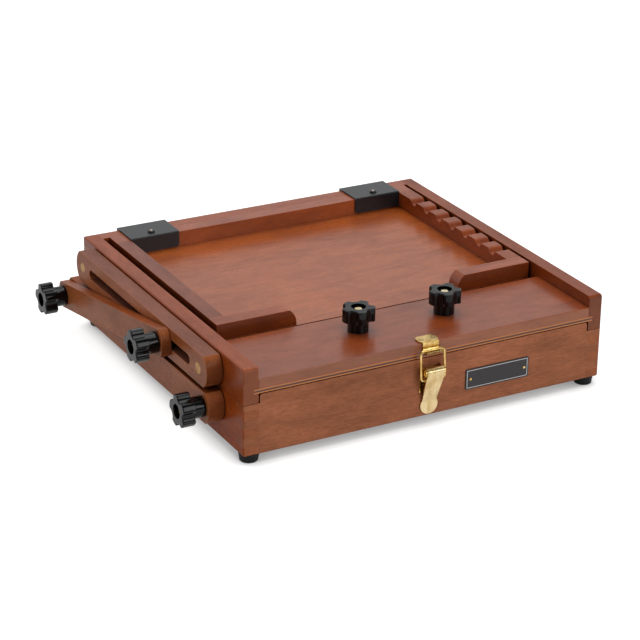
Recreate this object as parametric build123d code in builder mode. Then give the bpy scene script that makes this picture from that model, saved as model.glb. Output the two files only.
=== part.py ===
from build123d import *
import os
from math import asin, atan2, ceil, cos, hypot, pi, radians, sin, tan

# Pochade box: a shallow case with a lid that opens on a strut at its left side,
# a tray hooked on the lid, a sliding palette and a draw latch.
# Millimetres. Origin in the middle of the underside of the case, on the mouth of
# the tripod thread. X runs along the case, Y from its front to its back, Z up.

os.makedirs("parts", exist_ok=True)

# ---- Case ------------------------------------------------------------------
case_length = 360.0
case_depth = 339.0
wall = 14.0
base_height = 47.5
front_rise = 8.3  # the front panel stands this much above the side walls
front_rise_gap = 1.4  # between the raised front and the lid rails beside it
front_rise_corner = 2.0
edge_round = 1.5  # easing of the outer edges
finger_pitch = 8.45
finger_sliver = 0.1  # a last finger thinner than this share of the pitch is left out
panel_thickness = 5.0
panel_height = 5.0  # underside of the bottom panel above the wall edges
panel_housing = 3.0  # how deep the panel sits in its grooves
housing_slack = 0.2

# ---- Lid -------------------------------------------------------------------
lid_gap = 0.5  # between the case and the lid rails
rail_height = 32.6
rail_nose_radius = 3.2
lid_finger_count = 4
lid_panel_lift = 8.7  # underside of the panel above the underside of the lid
lid_panel_thickness = 4.0
lid_panel_housing = 4.5
strip_depth = 82.5
strip_thickness = 9.3
strip_side_gap = 0.3
strip_edge_round = 1.0
ledge_depth = 14.0
ledge_drop = 4.0  # how far the canvas ledge hangs below the lid rails
ledge_length = 240.0
ledge_gap = 0.5

# ---- Rear hinges -----------------------------------------------------------
hinge_end_inset = 120.0  # middle of each hinge, from the end of the case
hinge_width = 50.0
hinge_knuckles = 5
hinge_knuckle_radius = 2.8
hinge_pin_radius = 1.2
hinge_leaf_thickness = 1.5
hinge_leaf_height = 17.0
hinge_knuckle_gap = 0.3
hinge_leaf_clearance = 0.75
hinge_wall_clearance = 0.2
hinge_screw_spacing = 32.0
hinge_screw_length = 9.0

# ---- Fasteners and fits ----------------------------------------------------
running_fit = 0.05  # radial clearance of everything that turns
seat_gap = 0.2
screw_radius = 1.6
screw_head_radius = 3.0
screw_fit = 0.05
bolt_radius = 3.2
bolt_head_radius = 6.0
bolt_head_thickness = 3.0
bolt_head_slack = 0.4

# ---- Hand knobs ------------------------------------------------------------
knob_radius = 15.0
knob_lobes = 5
knob_scallop_radius = 5.5
knob_scallop_centre = 16.7
knob_lobe_round = 1.8
knob_head = 12.0
knob_edge_round = 1.2
knob_hub_radius = 9.4
knob_recess_radius = 6.7
knob_recess_depth = 4.5
top_bolt_drop = 1.8  # the top bolts end this far below the faces of their knobs
side_bolt_drop = 3.0
top_knob_turn = 40.0  # angle of a lobe from the X axis
side_knob_turn = 12.0  # angle of a lobe from straight up
top_knob_height = 22.0
side_knob_height = 23.5
top_knob_inset = 51.0  # from the front face
top_knob_left_x = -42.8
top_knob_right_x = 44.7

# ---- Canvas clamp under the lid --------------------------------------------
clamp_side_margin = 17.0
clamp_front_inset = 15.5
clamp_depth = 59.5
clamp_thickness = 6.5
clamp_travel = 20.0
clamp_play = 0.2

# ---- Strut on the left side ------------------------------------------------
strut_gap = 1.0  # washers keep the bars this far off the wood
bar_thickness = 15.0
bar_width = 28.5
bar_end_arc = 7.0
slotted_bar_inset = 37.0  # front end, from the front face
slotted_bar_length = 281.0
slotted_bar_lift = 16.2  # its middle above the underside of the lid
slot_front_margin = 33.5
slot_rear_margin = 30.5
slot_width = 9.4
slot_groove_width = 15.0
slot_groove_depth = 6.0
bar_screw_front_margin = 17.1
bar_screw_rear_margin = 14.7
bar_screw_radius = 2.2
bar_screw_head_radius = 5.0
bar_screw_length = 26.0
bar_washer_radius = 6.5
arm_pivot_inset = 47.2
arm_pivot_height = 31.5
elbow_inset = 328.0
elbow_height = 29.0
lower_arm_tip = 13.5
upper_arm_gap = 0.5
upper_arm_thickness = 9.0
upper_arm_width = 25.0
upper_arm_end_arc = 6.0
upper_arm_tip = 13.0
slot_bolt_inset = 119.2
bolt_recess_radius = 6.6
bolt_recess_depth = 3.4

# ---- Tray on the lid -------------------------------------------------------
tray_left_inset = 21.3  # outer side of the tray frame, from the case's side
tray_right_inset = 17.6
tray_stock = 15.2
tray_side_strip = 14.3  # width of the strips along the tray's sides
tray_frame_height = 15.4
tray_floor_thickness = 4.2
tray_floor_front = 93.8
tray_front_inset = 94.2
tray_rear_gap = 0.3
tray_bar_left_length = 71.0
tray_bar_right_length = 69.8
tray_bar_arc = 4.8
tray_bar_undercut = 7.0
comb_notches = 7
comb_pitch = 24.0
comb_depth = 4.6
comb_first_edge = 287.5
comb_rear_run = 8.5
comb_front_run = 6.0
comb_valley = 0.6

# ---- Tray hooks ------------------------------------------------------------
hook_thickness = 1.6
hook_width = 49.8
hook_side_gap = 0.2  # between a hook's inner leg and the tray strip beside it
hook_inner_leg = 15.4
hook_outer_leg = 19.9
hook_outer_gap = 1.2
hook_corner = 3.0
hook_screw_radius = 1.6
hook_screw_head_radius = 3.5
hook_screw_head = 1.8
hook_screw_length = 11.0

# ---- Inside the case -------------------------------------------------------
runner_size = 8.0
runner_height = 30.0
palette_thickness = 4.0
palette_depth = 200.0
palette_side_gap = 0.5
palette_front_gap = 0.3
divider_thickness = 6.0
divider_top = 29.0
divider_end_gap = 0.2
divider_long_y = -50.0
divider_short_x = 60.0
halving_slack = 0.1

# ---- Tripod thread ---------------------------------------------------------
pad_size = 80.0
thread_radius = 2.6
t_nut_barrel_radius = 4.0
t_nut_flange_radius = 11.0
t_nut_flange_thickness = 1.2

# ---- Feet ------------------------------------------------------------------
foot_inset = 9.5
foot_height = 8.0
foot_top_radius = 9.2
foot_bottom_radius = 8.0
foot_round = 1.2
foot_recess_depth = 3.5
foot_screw_radius = 1.75
foot_screw_head_radius = 3.3
foot_screw_head = 2.0
foot_screw_grip = 12.0

# ---- Name plate ------------------------------------------------------------
plate_left = 217.5
plate_length = 65.3
plate_bottom = 16.5
plate_height = 19.2
plate_thickness = 1.0
plate_corner = 1.0
plate_pin_margin = 4.7
plate_pin_radius = 0.8
plate_pin_head_radius = 1.3
plate_pin_head = 0.7
plate_pin_length = 8.0

# ---- Draw latch ------------------------------------------------------------
strike_thickness = 1.2
strike_width = 16.0
strike_wide = 19.3
strike_rear_width = 14.0
strike_wide_start = 3.5
strike_wide_end = 9.5
strike_depth = 12.5
strike_front_gap = 0.4
strike_screw_x = 5.95
strike_screw_y = 5.4
strike_hook_radius = 3.6
strike_hook_play = 0.6
lip_angle = 58.0  # the lip ends this far round from the bottom of the hook
bail_wire_radius = 1.1
bail_bar_out = 4.6
bail_bar_drop = 5.4  # heights of the latch's upper end, from the top of the lid's front strip
bail_pivot_out = 6.8
bail_pivot_drop = 9.3  # heights of the latch's lower end, from the top of the case's walls
bail_half_width = 11.8
bail_top_round = 3.2
bail_foot_round = 2.0
bail_foot_bite = 1.6  # how far the wire ends enter the lever
lever_pivot_out = 8.4
lever_pivot_drop = 1.9
lever_width = 17.0
lever_barrel_radius = 4.2
lever_boss_radius = 2.4
lever_plate_thickness = 1.2
lever_waist = 14.6
lever_waist_drop = 29.5
lever_end_radius = 8.7
lever_tip_drop = 45.3
lever_wall_gap = 0.4
lever_knee_drop = 33.0
lever_knee_round = 12.0
ear_thickness = 1.2
ear_gap = 0.2
ear_radius = 3.6
latch_pin_radius = 1.2
latch_pin_overhang = 0.4
latch_plate_thickness = 1.2
latch_plate_drop = 23.5
latch_plate_rise = -0.4
latch_screw_drop = 19.5
latch_screw_rise = -9.5

# ---- Planes that the pieces share ------------------------------------------
left, right = -case_length / 2, case_length / 2
front, back = -case_depth / 2, case_depth / 2
inner_left, inner_right = left + wall, right - wall
inner_front, inner_back = front + wall, back - wall
lid_bottom = base_height + lid_gap
lid_top = lid_bottom + rail_height
panel_top = panel_height + panel_thickness
lid_panel_bottom = lid_bottom + lid_panel_lift
lid_panel_top = lid_panel_bottom + lid_panel_thickness
strip_top = lid_panel_top + strip_thickness
hinge_y = back + hinge_wall_clearance + hinge_knuckle_radius
hinge_z = base_height + lid_gap / 2
bail_bar_height = strip_top - bail_bar_drop
bail_pivot_height = base_height - bail_pivot_drop
lever_pivot_height = base_height - lever_pivot_drop
lever_waist_height = base_height - lever_waist_drop
lever_tip_height = base_height - lever_tip_drop
lever_knee_height = base_height - lever_knee_drop

ROD = (Align.CENTER, Align.CENTER, Align.MIN)
UP, DOWN = (0, 0, 1), (0, 0, -1)
OUT_LEFT, INTO_SIDE = (-1, 0, 0), (1, 0, 0)
TO_BACK, TO_FRONT = (0, 1, 0), (0, -1, 0)


# ---- Shapes used again and again -------------------------------------------
def slab(x0, x1, y0, y1, z0, z1, mode=Mode.ADD):
    """A block between six planes."""
    with Locations(((x0 + x1) / 2, (y0 + y1) / 2, (z0 + z1) / 2)):
        Box(x1 - x0, y1 - y0, z1 - z0, mode=mode)


def rod(start, direction, length, radius, mode=Mode.ADD):
    """A round bar or bore that starts at a point and runs along a direction."""
    with Locations(Plane(origin=start, z_dir=direction)):
        Cylinder(radius, length, align=ROD, mode=mode)


def countersunk(face, into, length, head_radius, radius, fit=0.0, mode=Mode.ADD):
    """A countersunk screw flush with a face, or with a fit the hole that it fills."""
    with Locations(Plane(origin=face, z_dir=into)):
        Cone(head_radius + fit, radius + fit, head_radius - radius, align=ROD, mode=mode)
        Cylinder(radius + fit, length + fit, align=ROD, mode=mode)


def finish(builder, name):
    """Labels a finished piece and writes it to its own file."""
    builder.part.label = name
    export_step(builder.part, f"parts/{name}.step")


def finger_bands(bottom, top, pitch, first):
    """Heights of every second finger of a corner joint, from band number first."""
    bands = []
    for band in range(first, ceil((top - bottom) / pitch - finger_sliver), 2):
        bands.append((bottom + band * pitch, min(bottom + (band + 1) * pitch, top)))
    return bands


def cut_fingers(x_spans, y_spans, bands):
    """Clears the other wall's fingers out of the corners."""
    for x0, x1 in x_spans:
        for y0, y1 in y_spans:
            for z0, z1 in bands:
                slab(x0, x1, y0, y1, z0, z1, mode=Mode.SUBTRACT)


# ---- Case walls ------------------------------------------------------------
foot_centres = [
    (left + foot_inset, front + foot_inset),
    (right - foot_inset, front + foot_inset),
    (left + foot_inset, back - foot_inset),
    (right - foot_inset, back - foot_inset),
]
left_corner, right_corner = (left, inner_left), (inner_right, right)
front_corner, rear_corner = (front, inner_front), (inner_back, back)
side_fingers = finger_bands(0, base_height, finger_pitch, 0)
end_fingers = finger_bands(0, base_height, finger_pitch, 1)

with BuildPart() as case_form:
    slab(left, right, front, back, 0, base_height)
    fillet(case_form.edges().filter_by(Axis.Z), edge_round)
    fillet(case_form.faces().sort_by(Axis.Z)[0].edges(), edge_round)


def foot_screw_holes():
    for x, y in foot_centres:
        rod((x, y, 0), UP, foot_screw_grip + screw_fit, foot_screw_radius + screw_fit,
            mode=Mode.SUBTRACT)


def bottom_groove():
    slab(inner_left - panel_housing, inner_right + panel_housing,
         inner_front - panel_housing, inner_back + panel_housing,
         panel_height, panel_top, mode=Mode.SUBTRACT)


def case_wall_details():
    """What all four walls share: eased outer edges, panel groove, foot screws."""
    add(case_form.part, mode=Mode.INTERSECT)
    bottom_groove()
    foot_screw_holes()


arm_pivot = (front + arm_pivot_inset, arm_pivot_height)
elbow = (front + elbow_inset, elbow_height)

with BuildPart() as box_left:
    slab(left, inner_left, front, back, 0, base_height)
    cut_fingers([left_corner], [front_corner, rear_corner], end_fingers)
    case_wall_details()
    rod((left, *arm_pivot), INTO_SIDE, wall, bolt_radius + running_fit, mode=Mode.SUBTRACT)
    rod((inner_left, *arm_pivot), OUT_LEFT, bolt_recess_depth, bolt_recess_radius,
        mode=Mode.SUBTRACT)
finish(box_left, "box_left")

with BuildPart() as box_right:
    slab(inner_right, right, front, back, 0, base_height)
    cut_fingers([right_corner], [front_corner, rear_corner], end_fingers)
    case_wall_details()
finish(box_right, "box_right")

# The latch and the name plate are fastened to the front panel.
latch_screws = [
    (0, front, base_height - latch_screw_drop),
    (0, front, base_height + latch_screw_rise),
]
plate_x0 = left + plate_left
plate_x1 = plate_x0 + plate_length
plate_mid_z = plate_bottom + plate_height / 2
plate_pins = [(plate_x0 + plate_pin_margin, plate_mid_z), (plate_x1 - plate_pin_margin, plate_mid_z)]


def latch_screw(x, y, z, fit=0.0, mode=Mode.ADD):
    countersunk((x, y - latch_plate_thickness, z), TO_BACK, hinge_screw_length,
                screw_head_radius, screw_radius, fit, mode)


with BuildPart() as box_front:
    slab(left, right, front, inner_front, 0, base_height)
    cut_fingers([left_corner, right_corner], [front_corner], side_fingers)
    case_wall_details()
    rise_x = inner_right - front_rise_gap
    with BuildSketch(Plane.XZ.offset(-inner_front)) as front_rise_outline:
        with Locations((0, base_height)):
            Rectangle(2 * rise_x, 2 * front_rise)
        fillet(front_rise_outline.vertices().group_by(Axis.Y)[-1], front_rise_corner)
        with Locations((0, base_height - front_rise)):
            Rectangle(2 * rise_x, 2 * front_rise, mode=Mode.SUBTRACT)
    extrude(amount=wall)
    for x, y, z in latch_screws:
        latch_screw(x, y, z, screw_fit, Mode.SUBTRACT)
    for x, z in plate_pins:
        rod((x, front, z), TO_BACK, plate_pin_length, plate_pin_radius + screw_fit,
            mode=Mode.SUBTRACT)
finish(box_front, "box_front")

# ---- Rear hinges -----------------------------------------------------------
hinge_centres = [left + hinge_end_inset, right - hinge_end_inset]
base_leaf_top = hinge_z - hinge_knuckle_radius - hinge_leaf_clearance
lid_leaf_bottom = hinge_z + hinge_knuckle_radius + hinge_leaf_clearance
base_screw_z = base_leaf_top - hinge_leaf_height / 2
lid_screw_z = lid_leaf_bottom + hinge_leaf_height / 2
knuckle_length = (hinge_width - (hinge_knuckles - 1) * hinge_knuckle_gap) / hinge_knuckles


def hinge_screws(z, fit=0.0, mode=Mode.ADD):
    """Countersunk screws of both hinges at one height, driven in from the rear."""
    for x in hinge_centres:
        for side in (-1, 1):
            head = (x + side * hinge_screw_spacing / 2, back + hinge_leaf_thickness, z)
            countersunk(head, TO_FRONT, hinge_screw_length, screw_head_radius,
                        screw_radius, fit, mode)


def hinge_leaves(z0, z1, first_knuckle, screw_z):
    """One leaf of each hinge, with every second knuckle."""
    for x in hinge_centres:
        start = x - hinge_width / 2
        slab(start, start + hinge_width, back, back + hinge_leaf_thickness, z0, z1)
        for number in range(first_knuckle, hinge_knuckles, 2):
            x0 = start + number * (knuckle_length + hinge_knuckle_gap)
            slab(x0, x0 + knuckle_length, back, back + hinge_leaf_thickness,
                 min(z1, hinge_z), max(z0, hinge_z))
            rod((x0, hinge_y, hinge_z), INTO_SIDE, knuckle_length, hinge_knuckle_radius)
        rod((start, hinge_y, hinge_z), INTO_SIDE, hinge_width, hinge_pin_radius + running_fit,
            mode=Mode.SUBTRACT)
    hinge_screws(screw_z, screw_fit, Mode.SUBTRACT)


with BuildPart() as hinge_base_leaves:
    hinge_leaves(base_leaf_top - hinge_leaf_height, base_leaf_top, 0, base_screw_z)
finish(hinge_base_leaves, "hinge_base_leaves")

with BuildPart() as hinge_lid_leaves:
    hinge_leaves(lid_leaf_bottom, lid_leaf_bottom + hinge_leaf_height, 1, lid_screw_z)
finish(hinge_lid_leaves, "hinge_lid_leaves")

with BuildPart() as hinge_pins:
    for x in hinge_centres:
        rod((x - hinge_width / 2, hinge_y, hinge_z), INTO_SIDE, hinge_width, hinge_pin_radius)
finish(hinge_pins, "hinge_pins")

with BuildPart() as hinge_base_screws:
    hinge_screws(base_screw_z)
finish(hinge_base_screws, "hinge_base_screws")

with BuildPart() as hinge_lid_screws:
    hinge_screws(lid_screw_z)
finish(hinge_lid_screws, "hinge_lid_screws")

with BuildPart() as box_back:
    slab(left, right, inner_back, back, 0, base_height)
    cut_fingers([left_corner, right_corner], [rear_corner], side_fingers)
    case_wall_details()
    hinge_screws(base_screw_z, screw_fit, Mode.SUBTRACT)
finish(box_back, "box_back")

# ---- Bottom panel, tripod thread and feet ----------------------------------
with BuildPart() as bottom_panel:
    reach = panel_housing - housing_slack
    slab(inner_left - reach, inner_right + reach, inner_front - reach, inner_back + reach,
         panel_height, panel_top)
    rod((0, 0, 0), UP, panel_top, t_nut_barrel_radius + screw_fit, mode=Mode.SUBTRACT)
    foot_screw_holes()
finish(bottom_panel, "bottom_panel")

with BuildPart() as tripod_pad:
    slab(-pad_size / 2, pad_size / 2, -pad_size / 2, pad_size / 2, 0, panel_height)
    rod((0, 0, 0), UP, panel_height, t_nut_barrel_radius + screw_fit, mode=Mode.SUBTRACT)
finish(tripod_pad, "tripod_pad")

t_nut_length = panel_top + t_nut_flange_thickness
with BuildPart() as tripod_t_nut:
    rod((0, 0, 0), UP, t_nut_length, t_nut_barrel_radius)
    rod((0, 0, panel_top), UP, t_nut_flange_thickness, t_nut_flange_radius)
    rod((0, 0, 0), UP, t_nut_length, thread_radius, mode=Mode.SUBTRACT)
finish(tripod_t_nut, "tripod_t_nut")

with BuildPart() as feet:
    with Locations([(x, y, -foot_height) for x, y in foot_centres]):
        Cone(foot_bottom_radius, foot_top_radius, foot_height, align=ROD)
    fillet(feet.edges().group_by(Axis.Z)[0], foot_round)
    for x, y in foot_centres:
        rod((x, y, -foot_height), UP, foot_recess_depth, foot_screw_head_radius + seat_gap,
            mode=Mode.SUBTRACT)
        rod((x, y, -foot_height), UP, foot_height, foot_screw_radius + screw_fit,
            mode=Mode.SUBTRACT)
finish(feet, "feet")

with BuildPart() as foot_screws:
    seat = foot_recess_depth - foot_height
    for x, y in foot_centres:
        rod((x, y, seat - foot_screw_head), UP, foot_screw_head, foot_screw_head_radius)
        rod((x, y, seat), UP, foot_screw_grip - seat, foot_screw_radius)
finish(foot_screws, "foot_screws")

# ---- Palette, its runners and the dividers ---------------------------------
runner_top = runner_height + runner_size
with BuildPart() as palette_runners:
    slab(inner_left, inner_left + runner_size, inner_front, inner_back, runner_height, runner_top)
    slab(inner_right - runner_size, inner_right, inner_front, inner_back, runner_height, runner_top)
finish(palette_runners, "palette_runners")

with BuildPart() as palette:
    palette_y = inner_front + palette_front_gap
    slab(inner_left + palette_side_gap, inner_right - palette_side_gap,
         palette_y, palette_y + palette_depth, runner_top, runner_top + palette_thickness)
finish(palette, "palette")

divider_mid = (panel_top + divider_top) / 2
half = divider_thickness / 2
with BuildPart() as divider_long:
    slab(inner_left + divider_end_gap, inner_right - divider_end_gap,
         divider_long_y - half, divider_long_y + half, panel_top, divider_top)
    slab(divider_short_x - half - halving_slack, divider_short_x + half + halving_slack,
         divider_long_y - half, divider_long_y + half, divider_mid, divider_top, mode=Mode.SUBTRACT)
finish(divider_long, "divider_long")

with BuildPart() as divider_short:
    slab(divider_short_x - half, divider_short_x + half,
         inner_front + divider_end_gap, inner_back - divider_end_gap, panel_top, divider_top)
    slab(divider_short_x - half, divider_short_x + half,
         divider_long_y - half - halving_slack, divider_long_y + half + halving_slack,
         panel_top, divider_mid, mode=Mode.SUBTRACT)
finish(divider_short, "divider_short")

# ---- Lid frame and panel ---------------------------------------------------
lid_pitch = rail_height / lid_finger_count
rear_wall_fingers = finger_bands(lid_bottom, lid_top, lid_pitch, 0)
rail_fingers = finger_bands(lid_bottom, lid_top, lid_pitch, 1)

with BuildPart() as lid_form:
    slab(left, right, front, back, lid_bottom, lid_top)
    along_x = lid_form.edges().filter_by(Axis.X)
    fillet(along_x.group_by(Axis.Y)[0].sort_by(Axis.Z)[-1], rail_nose_radius)
    along_x = lid_form.edges().filter_by(Axis.X)
    fillet(along_x.group_by(Axis.Y)[-1].sort_by(Axis.Z)[-1], edge_round)
    fillet(lid_form.edges().filter_by(Axis.Z), edge_round)


def lid_panel_groove():
    slab(inner_left - lid_panel_housing, inner_right + lid_panel_housing,
         front, inner_back + lid_panel_housing, lid_panel_bottom, lid_panel_top,
         mode=Mode.SUBTRACT)


slotted_bar_y0 = front + slotted_bar_inset
slotted_bar_y1 = slotted_bar_y0 + slotted_bar_length
slot_z = lid_bottom + slotted_bar_lift
bar_inner = left - strut_gap
bar_outer = bar_inner - bar_thickness
bar_screw_places = [
    (slotted_bar_y0 + bar_screw_front_margin, slot_z),
    (slotted_bar_y1 - bar_screw_rear_margin, slot_z),
]


def bar_screw_set(fit=0.0, mode=Mode.ADD):
    for y, z in bar_screw_places:
        countersunk((bar_outer, y, z), INTO_SIDE, bar_screw_length, bar_screw_head_radius,
                    bar_screw_radius, fit, mode)


with BuildPart() as lid_left_rail:
    slab(left, inner_left, front, back, lid_bottom, lid_top)
    cut_fingers([left_corner], [rear_corner], rear_wall_fingers)
    add(lid_form.part, mode=Mode.INTERSECT)
    lid_panel_groove()
    bar_screw_set(screw_fit, Mode.SUBTRACT)
finish(lid_left_rail, "lid_left_rail")

with BuildPart() as lid_right_rail:
    slab(inner_right, right, front, back, lid_bottom, lid_top)
    cut_fingers([right_corner], [rear_corner], rear_wall_fingers)
    add(lid_form.part, mode=Mode.INTERSECT)
    lid_panel_groove()
finish(lid_right_rail, "lid_right_rail")

with BuildPart() as lid_rear_wall:
    slab(left, right, inner_back, back, lid_bottom, lid_top)
    cut_fingers([left_corner, right_corner], [rear_corner], rail_fingers)
    add(lid_form.part, mode=Mode.INTERSECT)
    lid_panel_groove()
    hinge_screws(lid_screw_z, screw_fit, Mode.SUBTRACT)
finish(lid_rear_wall, "lid_rear_wall")

clamp_bolt_places = [
    (top_knob_left_x, front + top_knob_inset),
    (top_knob_right_x, front + top_knob_inset),
]
clamp_top = lid_panel_bottom - clamp_play
clamp_bottom = clamp_top - clamp_thickness


def clamp_bolt_holes():
    for x, y in clamp_bolt_places:
        rod((x, y, clamp_bottom), UP, strip_top - clamp_bottom, bolt_radius + running_fit,
            mode=Mode.SUBTRACT)


with BuildPart() as lid_panel:
    reach = lid_panel_housing - housing_slack
    slab(inner_left - reach, inner_right + reach, front, inner_back + reach,
         lid_panel_bottom, lid_panel_top)
    clamp_bolt_holes()
finish(lid_panel, "lid_panel")

strike_screw_places = [
    (-strike_screw_x, front + strike_screw_y),
    (strike_screw_x, front + strike_screw_y),
]


def strike_screw_set(fit=0.0, mode=Mode.ADD):
    for x, y in strike_screw_places:
        countersunk((x, y, strip_top + strike_thickness), DOWN, hinge_screw_length,
                    screw_head_radius - strike_thickness / 2, screw_radius, fit, mode)


with BuildPart() as front_strip:
    slab(inner_left + strip_side_gap, inner_right - strip_side_gap, front, front + strip_depth,
         lid_panel_top, strip_top)
    fillet(front_strip.edges().filter_by(Axis.X).group_by(Axis.Y)[0].sort_by(Axis.Z)[-1],
           strip_edge_round)
    clamp_bolt_holes()
    strike_screw_set(screw_fit, Mode.SUBTRACT)
finish(front_strip, "front_strip")

with BuildPart() as canvas_ledge:
    ledge_y = inner_back - ledge_gap
    slab(-ledge_length / 2, ledge_length / 2, ledge_y - ledge_depth, ledge_y,
         lid_bottom - ledge_drop, lid_panel_bottom)
finish(canvas_ledge, "canvas_ledge")

# ---- Canvas clamp: a board that two of the knobs hold against the lid ------
with BuildPart() as canvas_clamp:
    clamp_y = front + clamp_front_inset
    slab(top_knob_left_x - clamp_side_margin, top_knob_right_x + clamp_side_margin,
         clamp_y, clamp_y + clamp_depth, clamp_bottom, clamp_top)
    for x, y in clamp_bolt_places:
        with BuildSketch(Plane.XY.offset(clamp_bottom)):
            with Locations((x, y - clamp_travel / 2)):
                SlotOverall(clamp_travel + 2 * (bolt_radius + seat_gap),
                            2 * (bolt_radius + seat_gap), rotation=90)
        extrude(amount=clamp_thickness, mode=Mode.SUBTRACT)
finish(canvas_clamp, "canvas_clamp")

with BuildPart() as clamp_bolts:
    bolt_bottom = clamp_bottom - bolt_head_thickness
    bolt_top = strip_top + seat_gap + top_knob_height - top_bolt_drop
    for x, y in clamp_bolt_places:
        rod((x, y, bolt_bottom), UP, bolt_head_thickness, bolt_head_radius)
        rod((x, y, bolt_bottom), UP, bolt_top - bolt_bottom, bolt_radius)
finish(clamp_bolts, "clamp_bolts")


# ---- Hand knobs ------------------------------------------------------------
def hand_knob(face, outward, height, toward, turn):
    """A five-lobed knob standing on a face, one lobe at an angle from a direction."""
    seat = Plane(origin=face, x_dir=toward, z_dir=outward)
    first_scallop = turn + 180 / knob_lobes
    with BuildSketch(seat.offset(height - knob_head)) as outline:
        Circle(knob_radius)
        with PolarLocations(knob_scallop_centre, knob_lobes, start_angle=first_scallop):
            Circle(knob_scallop_radius, mode=Mode.SUBTRACT)
        fillet(outline.vertices(), knob_lobe_round)
    head = extrude(outline.sketch, amount=knob_head)
    fillet(head.faces().sort_by(Axis(face, outward))[-1].edges(), knob_edge_round)
    rod(face, outward, height - knob_head / 2, knob_hub_radius)
    top = seat.offset(height).origin
    inward = tuple(-value for value in outward)
    rod(top, inward, knob_recess_depth, knob_recess_radius, mode=Mode.SUBTRACT)
    rod(top, inward, height, bolt_radius + running_fit, mode=Mode.SUBTRACT)


upper_arm_inner = bar_outer - upper_arm_gap
upper_arm_outer = upper_arm_inner - upper_arm_thickness
slot_bolt_place = (front + slot_bolt_inset, slot_z)
top_seat = strip_top + seat_gap
knobs = [
    ("top_knob_left", (*clamp_bolt_places[0], top_seat)),
    ("top_knob_right", (*clamp_bolt_places[1], top_seat)),
    ("front_knob", (bar_outer - seat_gap, *arm_pivot)),
    ("elbow_knob", (upper_arm_outer - seat_gap, *elbow)),
    ("slot_knob", (upper_arm_outer - seat_gap, *slot_bolt_place)),
]
for name, face in knobs:
    with BuildPart() as knob:
        if name.startswith("top"):
            hand_knob(face, UP, top_knob_height, INTO_SIDE, top_knob_turn)
        else:
            hand_knob(face, OUT_LEFT, side_knob_height, UP, side_knob_turn)
    finish(knob, name)


# ---- Strut: slotted bar, lower arm and upper arm ---------------------------
def arc_ended_outline(span, tip, width, arc):
    """A straight bar with shallow arcs at its ends, from its first pivot along local X."""
    x0, x1, half_width = -tip, span + tip, width / 2
    with BuildLine() as outline:
        Polyline((x0 + arc, half_width), (x1 - arc, half_width))
        ThreePointArc((x1 - arc, half_width), (x1, 0), (x1 - arc, -half_width))
        Polyline((x1 - arc, -half_width), (x0 + arc, -half_width))
        ThreePointArc((x0 + arc, -half_width), (x0, 0), (x0 + arc, half_width))
    make_face(outline.edges())


def arm_plane(x, start, end):
    """A plane on the box's left side, local X running from one pivot to the next."""
    return Plane(origin=(x, *start), x_dir=(0, end[0] - start[0], end[1] - start[1]),
                 z_dir=OUT_LEFT)


def distance(start, end):
    return hypot(end[0] - start[0], end[1] - start[1])


slot_y0 = slotted_bar_y0 + slot_front_margin
slot_y1 = slotted_bar_y1 - slot_rear_margin
slot_middle = (slot_y0 + slot_y1) / 2
bar_front, bar_rear = (slotted_bar_y0, slot_z), (slotted_bar_y1, slot_z)

with BuildPart() as slotted_bar:
    with BuildSketch(arm_plane(bar_inner, bar_front, bar_rear)):
        arc_ended_outline(slotted_bar_length, 0, bar_width, bar_end_arc)
    extrude(amount=bar_thickness)
    with BuildSketch(arm_plane(bar_inner, (slot_middle, slot_z), bar_rear)):
        SlotOverall(slot_y1 - slot_y0, slot_width)
    extrude(amount=bar_thickness, mode=Mode.SUBTRACT)
    with BuildSketch(arm_plane(bar_inner, (slot_middle, slot_z), bar_rear)):
        SlotOverall(slot_y1 - slot_y0 + slot_groove_width - slot_width, slot_groove_width)
    extrude(amount=slot_groove_depth, mode=Mode.SUBTRACT)
    bar_screw_set(screw_fit, Mode.SUBTRACT)
finish(slotted_bar, "slotted_bar")

with BuildPart() as bar_screws:
    bar_screw_set()
finish(bar_screws, "bar_screws")

with BuildPart() as bar_washers:
    for y, z in bar_screw_places:
        rod((left, y, z), OUT_LEFT, strut_gap, bar_washer_radius)
    for y, z in bar_screw_places:
        rod((left, y, z), OUT_LEFT, strut_gap, bar_screw_radius + screw_fit, mode=Mode.SUBTRACT)
finish(bar_washers, "bar_washers")

with BuildPart() as lower_arm:
    with BuildSketch(arm_plane(bar_inner, arm_pivot, elbow)):
        arc_ended_outline(distance(arm_pivot, elbow), lower_arm_tip, bar_width, bar_end_arc)
    extrude(amount=bar_thickness)
    for pivot in (arm_pivot, elbow):
        rod((bar_inner, *pivot), OUT_LEFT, bar_thickness, bolt_radius + running_fit,
            mode=Mode.SUBTRACT)
    rod((bar_inner, *elbow), OUT_LEFT, bolt_recess_depth, bolt_recess_radius, mode=Mode.SUBTRACT)
finish(lower_arm, "lower_arm")

with BuildPart() as upper_arm:
    with BuildSketch(arm_plane(upper_arm_inner, elbow, slot_bolt_place)):
        arc_ended_outline(distance(elbow, slot_bolt_place), upper_arm_tip, upper_arm_width,
                          upper_arm_end_arc)
    extrude(amount=upper_arm_thickness)
    for pivot in (elbow, slot_bolt_place):
        rod((upper_arm_inner, *pivot), OUT_LEFT, upper_arm_thickness, bolt_radius + running_fit,
            mode=Mode.SUBTRACT)
finish(upper_arm, "upper_arm")


# ---- Bolts of the strut ----------------------------------------------------
def side_bolt(place, head_inner, knob_seat):
    """A bolt that runs out through the strut to the end of its knob."""
    end = knob_seat - seat_gap - side_knob_height + side_bolt_drop
    rod((head_inner, *place), OUT_LEFT, bolt_head_thickness, bolt_head_radius)
    rod((head_inner, *place), OUT_LEFT, head_inner - end, bolt_radius)


with BuildPart() as arm_pivot_bolt:
    side_bolt(arm_pivot, inner_left - bolt_recess_depth + bolt_head_thickness, bar_outer)
finish(arm_pivot_bolt, "arm_pivot_bolt")

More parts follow.
